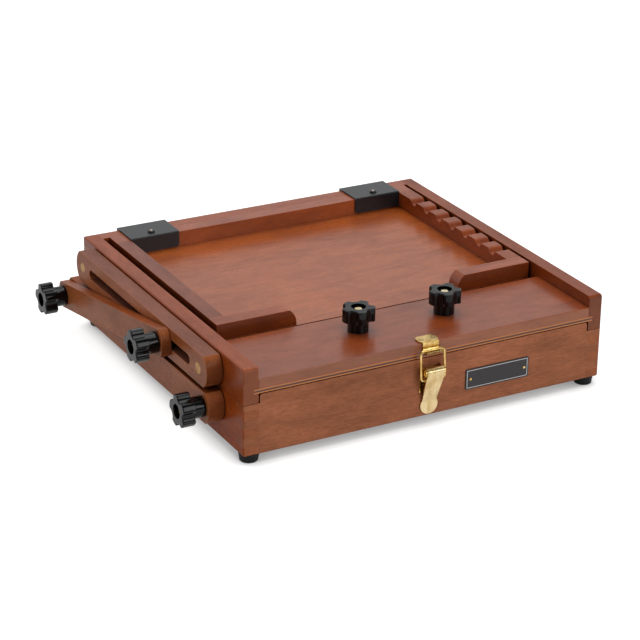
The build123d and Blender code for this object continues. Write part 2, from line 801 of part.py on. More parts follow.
with BuildPart() as arm_washer:
    rod((left, *arm_pivot), OUT_LEFT, strut_gap - seat_gap, bar_washer_radius)
    rod((left, *arm_pivot), OUT_LEFT, strut_gap, bolt_radius + running_fit, mode=Mode.SUBTRACT)
finish(arm_washer, "arm_washer")

with BuildPart() as elbow_bolt:
    side_bolt(elbow, bar_inner - bolt_recess_depth + bolt_head_thickness, upper_arm_outer)
finish(elbow_bolt, "elbow_bolt")

with BuildPart() as slot_bolt:
    side_bolt(slot_bolt_place, bar_inner - slot_groove_depth + bolt_head_slack + bolt_head_thickness,
              upper_arm_outer)
finish(slot_bolt, "slot_bolt")

# ---- Tray on top of the lid ------------------------------------------------
tray_left, tray_right = left + tray_left_inset, right - tray_right_inset
tray_top = lid_top
tray_floor_top = tray_top - tray_frame_height
tray_rear = inner_back - tray_rear_gap
tray_back_front = tray_rear - tray_stock
tray_front = front + tray_front_inset
tray_bar_rear = tray_front + tray_stock
left_hook_start = tray_left + tray_side_strip + hook_side_gap
right_hook_end = tray_right - tray_side_strip - hook_side_gap
hook_spans = [
    (left_hook_start, left_hook_start + hook_width),
    (right_hook_end - hook_width, right_hook_end),
]
hook_screw_places = [((x0 + x1) / 2, tray_back_front + tray_stock / 2) for x0, x1 in hook_spans]


def hook_screw_set(fit=0.0, mode=Mode.ADD):
    for x, y in hook_screw_places:
        rod((x, y, tray_top + hook_thickness), DOWN, hook_screw_length, hook_screw_radius + fit,
            mode=mode)


with BuildPart() as tray_floor:
    slab(tray_left, tray_right, front + tray_floor_front, tray_rear,
         tray_floor_top - tray_floor_thickness, tray_floor_top)
finish(tray_floor, "tray_floor")

with BuildPart() as tray_back_member:
    slab(tray_left, tray_right, tray_back_front, tray_rear, tray_floor_top, tray_top)
    hook_screw_set(screw_fit, Mode.SUBTRACT)
finish(tray_back_member, "tray_back_member")

with BuildPart() as tray_left_strip:
    slab(tray_left, tray_left + tray_side_strip, tray_bar_rear, tray_back_front,
         tray_floor_top, tray_top)
finish(tray_left_strip, "tray_left_strip")


def tray_bar_outline(corner, length, inward):
    """A front bar in front view: square at the corner, curved and undercut at its free end."""
    end_top = corner + inward * length
    end_middle = end_top + inward * tray_bar_arc
    end_bottom = end_top + inward * tray_bar_undercut
    rise = tray_frame_height * 0.67
    with BuildLine() as outline:
        Polyline((end_top, tray_top), (corner, tray_top), (corner, tray_floor_top),
                 (end_bottom, tray_floor_top))
        ThreePointArc((end_bottom, tray_floor_top), (end_middle, tray_floor_top + rise),
                      (end_top, tray_top))
    make_face(outline.edges())


with BuildPart() as tray_bar_left:
    with BuildSketch(Plane.XZ.offset(-tray_bar_rear)):
        tray_bar_outline(tray_left, tray_bar_left_length, 1)
    extrude(amount=tray_stock)
finish(tray_bar_left, "tray_bar_left")

with BuildPart() as tray_bar_right:
    with BuildSketch(Plane.XZ.offset(-tray_bar_rear)):
        tray_bar_outline(tray_right, tray_bar_right_length, -1)
    extrude(amount=tray_stock)
finish(tray_bar_right, "tray_bar_right")


def comb_notch(rear_edge):
    """One brush rest: two S curves with level tangents down to a short valley."""
    valley_z = tray_top - comb_depth
    middle_z = tray_top - comb_depth / 2
    valley_rear = rear_edge - comb_rear_run
    valley_front = valley_rear - comb_valley
    front_edge = valley_front - comb_front_run
    rear_middle = (rear_edge - comb_rear_run / 2, middle_z)
    front_middle = (valley_front - comb_front_run / 2, middle_z)
    TangentArc((rear_edge, tray_top), rear_middle, tangent=(-1, 0))
    TangentArc((valley_rear, valley_z), rear_middle, tangent=(1, 0))
    Line((valley_rear, valley_z), (valley_front, valley_z))
    TangentArc((valley_front, valley_z), front_middle, tangent=(-1, 0))
    TangentArc((front_edge, tray_top), front_middle, tangent=(1, 0))
    return front_edge


with BuildPart() as comb_strip:
    with BuildSketch(Plane.YZ.offset(tray_right - tray_side_strip)):
        with BuildLine():
            start = tray_back_front
            for number in range(comb_notches):
                rear_edge = front + comb_first_edge - number * comb_pitch
                Line((start, tray_top), (rear_edge, tray_top))
                start = comb_notch(rear_edge)
            Polyline((start, tray_top), (tray_bar_rear, tray_top), (tray_bar_rear, tray_floor_top),
                     (tray_back_front, tray_floor_top), (tray_back_front, tray_top))
        make_face()
    extrude(amount=tray_side_strip)
finish(comb_strip, "comb_strip")

# ---- Sheet steel hooks that hang the tray on the lid -----------------------
with BuildPart() as tray_hooks:
    for x0, x1 in hook_spans:
        leg_front = tray_back_front - hook_thickness
        leg_back = back + hook_outer_gap
        slab(x0, x1, leg_front, leg_back + hook_thickness, tray_top, tray_top + hook_thickness)
        slab(x0, x1, leg_front, tray_back_front, tray_top + hook_thickness - hook_inner_leg, tray_top)
        slab(x0, x1, leg_back, leg_back + hook_thickness,
             tray_top + hook_thickness - hook_outer_leg, tray_top)
    fillet(tray_hooks.edges().filter_by(Axis.X).group_by(Axis.Z)[-1], hook_thickness * 0.7)
    leg_ends = tray_hooks.edges().filter_by(Axis.Y).group_by(Edge.length)[0]
    fillet(leg_ends, hook_corner)
    hook_screw_set(screw_fit, Mode.SUBTRACT)
finish(tray_hooks, "tray_hooks")

with BuildPart() as hook_screws:
    hook_screw_set()
    for x, y in hook_screw_places:
        rod((x, y, tray_top + hook_thickness), UP, hook_screw_head, hook_screw_head_radius)
    fillet(hook_screws.edges().group_by(Axis.Z)[-1], hook_screw_head * 0.7)
finish(hook_screws, "hook_screws")

# ---- Name plate, left bare -------------------------------------------------
with BuildPart() as name_plate:
    slab(plate_x0, plate_x1, front - plate_thickness, front,
         plate_bottom, plate_bottom + plate_height)
    fillet(name_plate.edges().filter_by(Axis.Y), plate_corner)
    for x, z in plate_pins:
        rod((x, front, z), TO_FRONT, plate_thickness, plate_pin_radius + screw_fit,
            mode=Mode.SUBTRACT)
finish(name_plate, "name_plate")

with BuildPart() as name_plate_pins:
    face = front - plate_thickness
    for x, z in plate_pins:
        rod((x, face, z), TO_FRONT, plate_pin_head, plate_pin_head_radius)
        rod((x, face, z), TO_BACK, plate_pin_length, plate_pin_radius)
    fillet(name_plate_pins.edges().group_by(Axis.Y)[0], plate_pin_head * 0.7)
finish(name_plate_pins, "name_plate_pins")

# ---- Draw latch ------------------------------------------------------------
hook_front_face = front - strike_front_gap - strike_thickness
hook_y = hook_front_face - strike_hook_radius
hook_bottom = bail_bar_height - bail_wire_radius - strike_hook_play
hook_z = hook_bottom + strike_hook_radius
hook_outer = strike_hook_radius + strike_thickness
strike_top = strip_top + strike_thickness

with BuildPart() as strike:
    with BuildSketch(Plane.XY.offset(strip_top)):
        with BuildLine():
            Polyline(
                (-strike_width / 2, hook_front_face),
                (-strike_width / 2, front),
                (-strike_wide / 2, front + strike_wide_start),
                (-strike_wide / 2, front + strike_wide_end),
                (-strike_rear_width / 2, front + strike_depth),
                (strike_rear_width / 2, front + strike_depth),
                (strike_wide / 2, front + strike_wide_end),
                (strike_wide / 2, front + strike_wide_start),
                (strike_width / 2, front),
                (strike_width / 2, hook_front_face),
                close=True,
            )
        make_face()
    extrude(amount=strike_thickness)
    with BuildSketch(Plane.YZ.offset(-strike_width / 2)):
        lip = radians(lip_angle)
        with BuildLine():
            inner_start = (hook_y + strike_hook_radius, hook_z)
            inner_end = (hook_y - strike_hook_radius * sin(lip), hook_z - strike_hook_radius * cos(lip))
            outer_end = (hook_y - hook_outer * sin(lip), hook_z - hook_outer * cos(lip))
            outer_start = (hook_y + hook_outer, hook_z)
            ThreePointArc(inner_start, (hook_y, hook_z - strike_hook_radius), inner_end)
            Line(inner_end, outer_end)
            ThreePointArc(outer_end, (hook_y, hook_z - hook_outer), outer_start)
            Polyline(outer_start, (hook_y + hook_outer, strike_top),
                     (hook_y + strike_hook_radius, strike_top), inner_start)
        make_face()
    extrude(amount=strike_width)
    fillet(strike.edges().filter_by(Axis.X).group_by(Axis.Z)[-1].sort_by(Axis.Y)[0],
           strike_thickness * 0.8)
    strike_screw_set(screw_fit, Mode.SUBTRACT)
finish(strike, "strike")

with BuildPart() as strike_screws:
    strike_screw_set()
finish(strike_screws, "strike_screws")

lever_pivot = (front - lever_pivot_out, lever_pivot_height)
bail_pivot = (front - bail_pivot_out, bail_pivot_height)
bail_bar = (front - bail_bar_out, bail_bar_height)
ear_inner = lever_width / 2 + ear_gap
ear_outer = ear_inner + ear_thickness

with BuildPart() as latch_base:
    slab(-ear_outer, ear_outer, front - latch_plate_thickness, front,
         base_height - latch_plate_drop, base_height + latch_plate_rise)
    for x in (-ear_outer, ear_inner):
        rod((x, *lever_pivot), INTO_SIDE, ear_thickness, ear_radius)
        slab(x, x + ear_thickness, lever_pivot[0], front - latch_plate_thickness,
             lever_pivot_height - ear_radius, lever_pivot_height + ear_radius)
    rod((-ear_outer, *lever_pivot), INTO_SIDE, 2 * ear_outer, latch_pin_radius + screw_fit,
        mode=Mode.SUBTRACT)
    for x, y, z in latch_screws:
        latch_screw(x, y, z, screw_fit, Mode.SUBTRACT)
finish(latch_base, "latch_base")

with BuildPart() as latch_base_screws:
    for x, y, z in latch_screws:
        latch_screw(x, y, z)
finish(latch_base_screws, "latch_base_screws")

with BuildPart() as latch_pin:
    pin_half = ear_outer + latch_pin_overhang
    rod((-pin_half, *lever_pivot), INTO_SIDE, 2 * pin_half, latch_pin_radius)
    for x in (-pin_half, ear_outer):
        rod((x, *lever_pivot), INTO_SIDE, latch_pin_overhang, latch_pin_radius * 1.8)
finish(latch_pin, "latch_pin")

# The lever's plate leaves the front of the barrel at a tangent, leans in to a knee and
# lies along the wall below it. Front view: full width at the barrel, a waist, a round end.
plate_face = front - lever_wall_gap - lever_plate_thickness
knee = (plate_face, lever_knee_height)
knee_to_pivot = distance(knee, lever_pivot)
lean = (atan2(lever_pivot[1] - knee[1], lever_pivot[0] - knee[0])
        + asin(lever_barrel_radius / knee_to_pivot))
tangent_length = (knee_to_pivot ** 2 - lever_barrel_radius ** 2) ** 0.5
plate_top = (knee[0] + tangent_length * cos(lean), knee[1] + tangent_length * sin(lean))
plate_top_inner = (plate_top[0] + lever_plate_thickness * sin(lean),
                   plate_top[1] - lever_plate_thickness * cos(lean))
knee_inner = (knee[0] + lever_plate_thickness,
              knee[1] + lever_plate_thickness * tan((lean - pi / 2) / 2))

with BuildPart() as latch_lever:
    with BuildSketch(Plane.YZ.offset(-lever_width)) as lever_profile:
        with BuildLine():
            Polyline(plate_top, knee, (knee[0], lever_tip_height),
                     (knee_inner[0], lever_tip_height), knee_inner, plate_top_inner, close=True)
        make_face()
        fillet(lever_profile.vertices().sort_by_distance(knee)[0:2], lever_knee_round)
        with Locations(lever_pivot):
            Circle(lever_barrel_radius)
        with Locations(bail_pivot):
            Circle(lever_boss_radius)
    extrude(amount=2 * lever_width)
    with BuildSketch(Plane.XZ.offset(-back)) as lever_front_view:
        with BuildLine():
            half_width, half_waist = lever_width / 2, lever_waist / 2
            end_centre = lever_tip_height + lever_end_radius
            barrel_top = lever_pivot_height + lever_barrel_radius
            shoulder = bail_pivot_height - lever_boss_radius
            Polyline((-half_width, barrel_top), (-half_width, shoulder),
                     (-half_waist, lever_waist_height), (-half_waist, end_centre),
                     (half_waist, end_centre), (half_waist, lever_waist_height),
                     (half_width, shoulder), (half_width, barrel_top), close=True)
        make_face()
        with Locations((0, end_centre)):
            Circle(lever_end_radius)
    extrude(amount=2 * case_depth, mode=Mode.INTERSECT)
    for centre, radius in ((lever_pivot, latch_pin_radius), (bail_pivot, bail_wire_radius)):
        rod((-lever_width / 2, *centre), INTO_SIDE, lever_width, radius + running_fit,
            mode=Mode.SUBTRACT)
finish(latch_lever, "latch_lever")

with BuildPart() as latch_bail:
    leg_length = distance(bail_pivot, bail_bar)
    bail_plane = Plane(origin=(0, *bail_pivot), x_dir=INTO_SIDE,
                       z_dir=(0, bail_pivot[1] - bail_bar[1], bail_bar[0] - bail_pivot[0]))
    foot_x = lever_width / 2 - bail_foot_bite
    with BuildLine(bail_plane) as bail_path:
        FilletPolyline(
            (-foot_x, 0), (-bail_half_width, 0), (-bail_half_width, leg_length),
            (bail_half_width, leg_length), (bail_half_width, 0), (foot_x, 0),
            radius=[bail_foot_round, bail_top_round, bail_top_round, bail_foot_round],
        )
    with BuildSketch(Plane(origin=bail_path.line @ 0, z_dir=bail_path.line % 0)):
        Circle(bail_wire_radius)
    sweep()
finish(latch_bail, "latch_bail")
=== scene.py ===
"""Pochade box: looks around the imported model. Metres, +X right, +Y to the rear, +Z up."""
import math

import bmesh
import bpy
from mathutils import Matrix, Vector


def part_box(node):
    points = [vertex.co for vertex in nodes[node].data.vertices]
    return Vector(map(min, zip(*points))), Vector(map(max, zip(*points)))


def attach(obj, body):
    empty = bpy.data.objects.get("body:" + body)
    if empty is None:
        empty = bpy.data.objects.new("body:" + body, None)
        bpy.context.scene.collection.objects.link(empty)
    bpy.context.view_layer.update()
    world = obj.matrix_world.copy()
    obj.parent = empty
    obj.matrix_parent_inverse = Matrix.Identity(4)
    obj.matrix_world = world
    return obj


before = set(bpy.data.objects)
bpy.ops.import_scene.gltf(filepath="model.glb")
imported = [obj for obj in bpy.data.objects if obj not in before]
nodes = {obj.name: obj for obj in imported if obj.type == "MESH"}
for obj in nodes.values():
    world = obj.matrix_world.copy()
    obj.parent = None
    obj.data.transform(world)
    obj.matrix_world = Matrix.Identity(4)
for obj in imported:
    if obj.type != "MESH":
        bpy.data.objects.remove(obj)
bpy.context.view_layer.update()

# ---- Camera ----------------------------------------------------------------
CAMERA_PLACE = (-0.9365, -1.6851, 0.8675)
CAMERA_TURN = math.radians(-28.647)
CAMERA_RISE = math.radians(23.620)
CAMERA_ROLL = math.radians(0.7207)
FOCAL_LENGTH = 127.07
SENSOR_WIDTH = 36
NEAREST, FARTHEST = 0.05, 50


def camera_matrix():
    """Where the camera stands and how it is turned, raised and rolled."""
    back = Vector((math.sin(CAMERA_TURN) * math.cos(CAMERA_RISE),
                   -math.cos(CAMERA_TURN) * math.cos(CAMERA_RISE),
                   math.sin(CAMERA_RISE)))
    right = (-back).cross(Vector((0, 0, 1))).normalized()
    up = right.cross(-back)
    c, s = math.cos(CAMERA_ROLL), math.sin(CAMERA_ROLL)
    x_axis = c * right + s * up
    y_axis = -s * right + c * up
    columns = Matrix((x_axis, y_axis, back)).transposed()
    return Matrix.Translation(CAMERA_PLACE) @ columns.to_4x4()


camera_data = bpy.data.cameras.new("camera")
camera_data.lens = FOCAL_LENGTH
camera_data.sensor_width = SENSOR_WIDTH
camera_data.clip_start = NEAREST
camera_data.clip_end = FARTHEST
camera = bpy.data.objects.new("camera", camera_data)
bpy.context.scene.collection.objects.link(camera)
camera.matrix_world = camera_matrix()
bpy.context.scene.camera = camera
bpy.context.scene.view_settings.view_transform = "Standard"


# ---- Node helpers ----------------------------------------------------------
class Tree:
    """Short calls for making the nodes of a material or of the world."""

    def __init__(self, owner, output="ShaderNodeOutputMaterial"):
        owner.use_nodes = True
        self.owner = owner
        self.tree = owner.node_tree
        self.tree.nodes.clear()
        self.output = self.add(output)

    def add(self, kind, inputs=None, **settings):
        node = self.tree.nodes.new(kind)
        for key, value in settings.items():
            setattr(node, key, value)
        for key, value in (inputs or {}).items():
            self.feed(node.inputs[key], value)
        return node

    def feed(self, socket, value):
        """A value is set on the socket itself; another node's socket is linked to it."""
        if isinstance(value, bpy.types.NodeSocket):
            self.tree.links.new(value, socket)
        else:
            socket.default_value = value

    def math(self, operation, a, b=0.0, clamp=False):
        node = self.add("ShaderNodeMath", {0: a, 1: b}, operation=operation, use_clamp=clamp)
        return node.outputs[0]

    def mix(self, share, a, b):
        """From colour a to colour b."""
        a, b = (c if isinstance(c, bpy.types.NodeSocket) else (*c, 1) for c in (a, b))
        node = self.add("ShaderNodeMix", data_type="RGBA")
        for key, value in (("Factor", share), (6, a), (7, b)):
            self.feed(node.inputs[key], value)
        return node.outputs[2]

    def ramp(self, value, low, high, to_low=0.0, to_high=1.0):
        """Straight from to_low, at low and below, to to_high, at high and above."""
        node = self.add("ShaderNodeMapRange", {
            "Value": value, "From Min": low, "From Max": high, "To Min": to_low,
            "To Max": to_high}, clamp=True)
        return node.outputs[0]

    def axes(self, vector):
        return self.add("ShaderNodeSeparateXYZ", {0: vector}).outputs

    def place(self, scale=(1, 1, 1), shift=(0, 0, 0)):
        """Coordinates of the piece itself, in metres, scaled."""
        coordinates = self.add("ShaderNodeTexCoord").outputs["Object"]
        mapping = self.add("ShaderNodeMapping", {
            "Vector": coordinates, "Scale": scale, "Location": shift})
        return mapping.outputs[0]

    def noise(self, vector, scale, detail=2.0, roughness=0.5, distortion=0.0):
        node = self.add("ShaderNodeTexNoise", {
            "Vector": vector, "Scale": scale, "Detail": detail, "Roughness": roughness,
            "Distortion": distortion})
        return node.outputs["Fac"]

    def normal(self, height, strength, distance, edge):
        """Fine relief on top of edges rounded by a radius."""
        rounded = self.add("ShaderNodeBevel", {"Radius": edge}, samples=6).outputs[0]
        bump = self.add("ShaderNodeBump", {
            "Strength": strength, "Distance": distance, "Height": height, "Normal": rounded})
        return bump.outputs[0]

    def show(self, surface):
        self.tree.links.new(surface, self.output.inputs["Surface"])

    def shader(self, **inputs):
        """The surface of a piece. Returns the finished material."""
        inputs = {key.replace("_", " "): value for key, value in inputs.items()}
        self.show(self.add("ShaderNodeBsdfPrincipled", inputs).outputs[0])
        return self.owner


# Ends of ramps over a noise, whose values crowd around a half.
WIDE = (0.30, 0.70)
NARROW = (0.35, 0.65)


def material(name):
    return Tree(bpy.data.materials.new(name))


def dress(finish, *names):
    """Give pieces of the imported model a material."""
    for name in names:
        slots = nodes[name].data.materials
        slots.clear()
        slots.append(finish)


def tint(colour, amount):
    return tuple(amount * channel for channel in colour)


def edge_share(t, radius):
    """How near an outer edge the surface is, from the turn of a rounded normal."""
    rounded = t.add("ShaderNodeBevel", {"Radius": radius}, samples=4).outputs[0]
    flat = t.add("ShaderNodeNewGeometry").outputs["True Normal"]
    turn = t.add("ShaderNodeVectorMath", {0: rounded, 1: flat}, operation="DOT_PRODUCT")
    return t.ramp(turn.outputs["Value"], 0.80, 0.97, 1, 0)


def painted_hollow_shade(t, reach):
    """How deep in a slot or corner the surface lies, for the painted shade that darkens it there.
    """
    hollow = t.add("ShaderNodeAmbientOcclusion", {"Distance": reach}, samples=6)
    return t.ramp(hollow.outputs["AO"], 0.20, 0.52, 1, 0)


# ---- Wood ------------------------------------------------------------------
RED_LIGHT = (0.430, 0.086, 0.0145)
RED_DARK = (0.235, 0.041, 0.0070)
BROWN_LIGHT = (0.470, 0.138, 0.044)
BROWN_DARK = (0.270, 0.079, 0.025)
CASE_LIGHT = (0.54, 0.190, 0.092)
CASE_DARK = (0.31, 0.108, 0.050)
TRAY_LIGHT = (0.490, 0.108, 0.012)
TRAY_DARK = (0.275, 0.053, 0.006)
FRONT_TONE = (0.400, 0.138, 0.064)
SIDE_TONE = (0.300, 0.064, 0.013)
ARM_END = (0.10, 0.020, 0.004)
# Painted light and shade on the arms' top faces.
ARM_TOP_PAINTED_LIGHT = (0.30, 0.060, 0.010)
PLY_LIGHT = (0.62, 0.21, 0.045)
PLY_DARK = (0.085, 0.024, 0.009)
# Near-black plies for the tray floor's edges: painted shade.
PAINTED_SHADE_PLY_LIGHT = (0.030, 0.009, 0.004)
PAINTED_SHADE_PLY_DARK = (0.012, 0.004, 0.003)

# Shades of the darker colour in pores, end grain and corners, the corners' a painted shade, and
# of the lighter one on edges, pale partly from wear and partly as a painted highlight.
PORE_SHADE = 0.45
END_SHADE = 0.40
CORNER_PAINTED_SHADE = 0.08
WEAR_AND_HIGHLIGHT_SHADE = 1.6
TONE_SHADES = (1.22, 0.74)

# Reaches of the pale edges (wear and painted highlight) and of the painted shade in corners.
WEAR_AND_HIGHLIGHT_REACH = 0.0011
CORNER_REACH = 0.014
ROUNDING = 0.0005
RELIEF = 0.0002
# How pale the case walls' edges are made, by wear and painted highlight.
JOINT_WEAR_AND_HIGHLIGHT = 0.08

# How far a normal leans towards an axis where a face starts to count as looking along it, and
# where it counts in full.
FACING = (0.75, 0.95)

AXES = {"x": 0, "y": 1, "z": 2}


def figure(t, along, shift, stretch, **pattern):
    """Noise drawn out along the grain."""
    scale = [1, 1, 1]
    scale[AXES[along]] = stretch
    return t.noise(t.place(scale, shift), **pattern)


def ply_edge(t, colour, up, node, light, dark):
    """The layers of plywood on the upright faces of a lying board, the middle one darker."""
    low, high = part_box(node)
    level = t.ramp(t.axes(t.place())[2], low.z, high.z)
    side = t.ramp(t.math("ABSOLUTE", up), 0.3, 0.5, 1, 0)
    middle = t.math("MULTIPLY", t.ramp(level, 0.26, 0.32), t.ramp(level, 0.68, 0.74, 1, 0))
    return t.mix(t.math("MULTIPLY", side, 0.95), colour, t.mix(middle, light, dark))


def wood(name, along, light, dark, shift, coat=0.3, gloss=0.5, end=(0.18, None), front=None,
         top=None, wear=1.0, ply_of=None, plies=(PLY_LIGHT, PLY_DARK)):
    """Stained and varnished close-grained wood with its grain along one axis.

    end, front and top are a share and a colour for the end grain, the faces that look to the
    front and the faces that look up; the front and top colours are painted light, sheen and shade.
    wear is how far the edges are made pale, partly by wear and partly as a painted
    highlight. ply_of names a board of plywood, and plies are its two colours.
    """
    t = material(name)
    streaks = figure(t, along, shift, 0.09, scale=420, detail=3, roughness=0.6, distortion=0.3)
    mottle = figure(t, along, shift, 0.38, scale=62, detail=4, roughness=0.62, distortion=0.6)
    patches = figure(t, along, shift, 0.55, scale=13, distortion=0.4)
    pores = figure(t, along, shift, 0.15, scale=1300)
    share = t.math("ADD", t.ramp(streaks, *WIDE, 0, 0.30), t.ramp(mottle, *WIDE, -0.14, 0.56))
    share = t.math("ADD", share, t.ramp(patches, 0.34, 0.66, -0.10, 0.34), clamp=True)
    colour = t.mix(share, light, dark)
    colour = t.mix(t.ramp(pores, 0.42, 0.68, 0, 0.34), colour, tint(dark, PORE_SHADE))
    facing = t.axes(t.add("ShaderNodeTexCoord").outputs["Normal"])

    def toned(colour, where, amount, tone):
        """The colour turned towards a tone, with the same streaks in it."""
        tone = t.mix(share, *(tint(tone, shade) for shade in TONE_SHADES))
        return t.mix(t.math("MULTIPLY", where, amount), colour, tone)

    end_grain = t.ramp(t.math("ABSOLUTE", facing[AXES[along]]), *FACING)
    colour = toned(colour, end_grain, end[0], end[1] or tint(dark, END_SHADE))
    # The front and top tones are painted light, sheen and shade, given to faces by the way they
    # look.
    if front:
        colour = toned(colour, t.ramp(facing[1], -0.85, -0.55, 1, 0), *front)
    if top:
        colour = toned(colour, t.ramp(facing[2], *FACING), *top)
    if ply_of:
        colour = ply_edge(t, colour, facing[2], ply_of, *plies)
    # Edges made pale: partly wear, partly a painted highlight.
    worn = t.math("MULTIPLY", edge_share(t, WEAR_AND_HIGHLIGHT_REACH),
                  t.ramp(mottle, *NARROW, 0.35 * wear, 0.75 * wear))
    colour = t.mix(worn, colour, tint(light, WEAR_AND_HIGHLIGHT_SHADE))
    # Painted shade: darker deep in slots and corners, where shade falls.
    painted_corner_shade = t.math("MULTIPLY", painted_hollow_shade(t, CORNER_REACH), 0.92)
    colour = t.mix(painted_corner_shade, colour, tint(dark, CORNER_PAINTED_SHADE))
    relief = figure(t, along, shift, 0.12, scale=300)
    return t.shader(Base_Color=colour, Roughness=t.ramp(mottle, *WIDE, 0.27, 0.37),
                    Normal=t.normal(relief, 0.08, RELIEF, ROUNDING),
                    Coat_Weight=coat, Coat_Roughness=0.2, Specular_IOR_Level=gloss)


def stain(name, pieces, along, amount, shift, light=RED_LIGHT, dark=RED_DARK, **finish):
    """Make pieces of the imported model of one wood, its two colours brightened by an amount."""
    dress(wood(name, along, tint(light, amount), tint(dark, amount), shift, **finish), *pieces)


# In these woods, the front and top tones are painted light, sheen and shade.
stain("case_side_wood", ["box_left", "box_right"], "y", 1.12, (1.3, 0.2, 0.1),
      coat=0.0, gloss=0.09, end=(0.90, FRONT_TONE), wear=JOINT_WEAR_AND_HIGHLIGHT)
stain("rail_wood_left", ["lid_left_rail"], "y", 0.92, (2.1, 0.4, 0.3),
      coat=0.0, gloss=0.3, end=(0.60, tint(FRONT_TONE, 0.62)))
stain("rail_wood_right", ["lid_right_rail"], "y", 0.80, (2.9, 0.9, 0.8),
      coat=0.0, gloss=0.3, end=(0.60, tint(FRONT_TONE, 0.50)))
stain("rear_wood", ["lid_rear_wall"], "x", 0.94, (3.1, 0.4, 0.3),
      coat=0.1, gloss=0.4, end=(0.15, None))
stain("strip_wood", ["front_strip", "canvas_ledge", "canvas_clamp"], "x", 0.78, (4.3, 0.6, 0.2),
      coat=0.2, gloss=0.45, end=(0.15, None), front=(0.80, tint(FRONT_TONE, 0.90)))
stain("tray_rear_wood", ["tray_back_member"], "x", 1.00, (8.3, 0.4, 0.9),
      coat=0.2, gloss=0.45, end=(0.15, None), front=(0.45, (0.34, 0.075, 0.012)))
stain("tray_bar_wood", ["tray_bar_left", "tray_bar_right"], "x", 1.00, (9.1, 0.3, 0.5),
      coat=0.1, gloss=0.45, end=(0.40, None), front=(0.50, (0.07, 0.013, 0.003)))
stain("tray_strip_wood", ["tray_left_strip"], "y", 0.70, (1.9, 0.3, 0.4),
      coat=0.1, gloss=0.4, end=(0.20, None))
stain("comb_wood", ["comb_strip"], "y", 0.88, (2.4, 0.7, 0.4),
      coat=0.0, gloss=0.4, end=(0.20, None), front=(0.2, (0.10, 0.02, 0.005)))
stain("inner_wood", ["palette_runners", "divider_short"], "y", 1.00, (3.4, 0.7, 0.4),
      coat=0.2, end=(0.20, None))
stain("inner_cross_wood", ["divider_long"], "x", 1.00, (3.9, 0.7, 0.4),
      coat=0.2, end=(0.20, None))
stain("bar_wood", ["slotted_bar"], "y", 1.00, (5.3, 0.1, 0.6), BROWN_LIGHT, BROWN_DARK,
      coat=0.0, gloss=0.1, end=(0.45, (0.09, 0.019, 0.004)), front=(0.3, (0.09, 0.02, 0.006)),
      top=(0.75, (0.195, 0.078, 0.060)))
stain("lower_arm_wood", ["lower_arm"], "y", 1.00, (6.3, 0.1, 0.6), BROWN_LIGHT, BROWN_DARK,
      coat=0.0, gloss=0.1, end=(0.50, ARM_END), top=(0.60, ARM_TOP_PAINTED_LIGHT))
stain("upper_arm_wood", ["upper_arm"], "y", 0.98, (7.7, 0.8, 0.6), BROWN_LIGHT, BROWN_DARK,
      coat=0.0, gloss=0.1, end=(0.45, ARM_END), top=(0.60, ARM_TOP_PAINTED_LIGHT))
stain("case_front_wood", ["box_front", "box_back"], "x", 1.00, (0.3, 0.1, 0.7), CASE_LIGHT,
      CASE_DARK, coat=0.0, gloss=0.12, end=(0.90, SIDE_TONE), wear=JOINT_WEAR_AND_HIGHLIGHT)
stain("lid_panel_wood", ["lid_panel"], "x", 1.00, (1.7, 0.5, 0.2), ply_of="lid_panel")
stain("palette_wood", ["palette"], "x", 1.05, (2.7, 0.5, 0.2), ply_of="palette")
stain("bottom_wood", ["bottom_panel"], "x", 1.00, (3.7, 0.5, 0.2), ply_of="bottom_panel")
stain("pad_wood", ["tripod_pad"], "x", 1.00, (4.7, 0.5, 0.2), ply_of="tripod_pad")
# The tray floor's plies are painted shade.
stain("tray_floor_wood", ["tray_floor"], "x", 1.00, (0.9, 0.5, 0.2), TRAY_LIGHT, TRAY_DARK,
      coat=0.25, ply_of="tray_floor", plies=(PAINTED_SHADE_PLY_LIGHT, PAINTED_SHADE_PLY_DARK))

# ---- Metal -----------------------------------------------------------------
POLISHED = (0.86, 0.62, 0.25)
POLISHED_DARK = (0.64, 0.40, 0.11)
# Colour of the painted shade in screw slots and rims.
SLOT_AND_RIM_SHADE = (0.035, 0.018, 0.005)
SLOT_NORMAL = (0.42, 0.91)
METAL_RELIEF = 0.0001
METAL_ROUNDING = 0.0002


def slot_and_rim(t, node):
    """The slot and rim of two round screw heads that stand side by side, evenly about X, as a share
    for painted shade.
    """
    low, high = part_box(node)
    radius = (high.y - low.y) / 2
    x, y, _ = t.axes(t.place())
    u = t.math("SUBTRACT", t.math("ABSOLUTE", x), high.x - radius)
    v = t.math("SUBTRACT", y, (low.y + high.y) / 2)
    reach = t.math("SQRT", t.math("ADD", t.math("MULTIPLY", u, u), t.math("MULTIPLY", v, v)))
    rim = t.ramp(reach, radius * 0.70, radius * 0.84)
    across = t.math("ABSOLUTE", t.math("ADD", t.math("MULTIPLY", u, SLOT_NORMAL[0]),
                                       t.math("MULTIPLY", v, SLOT_NORMAL[1])))
    slot = t.ramp(across, radius * 0.12, radius * 0.20, 1, 0)
    return t.math("MULTIPLY", t.math("MAXIMUM", rim, slot), 0.85)


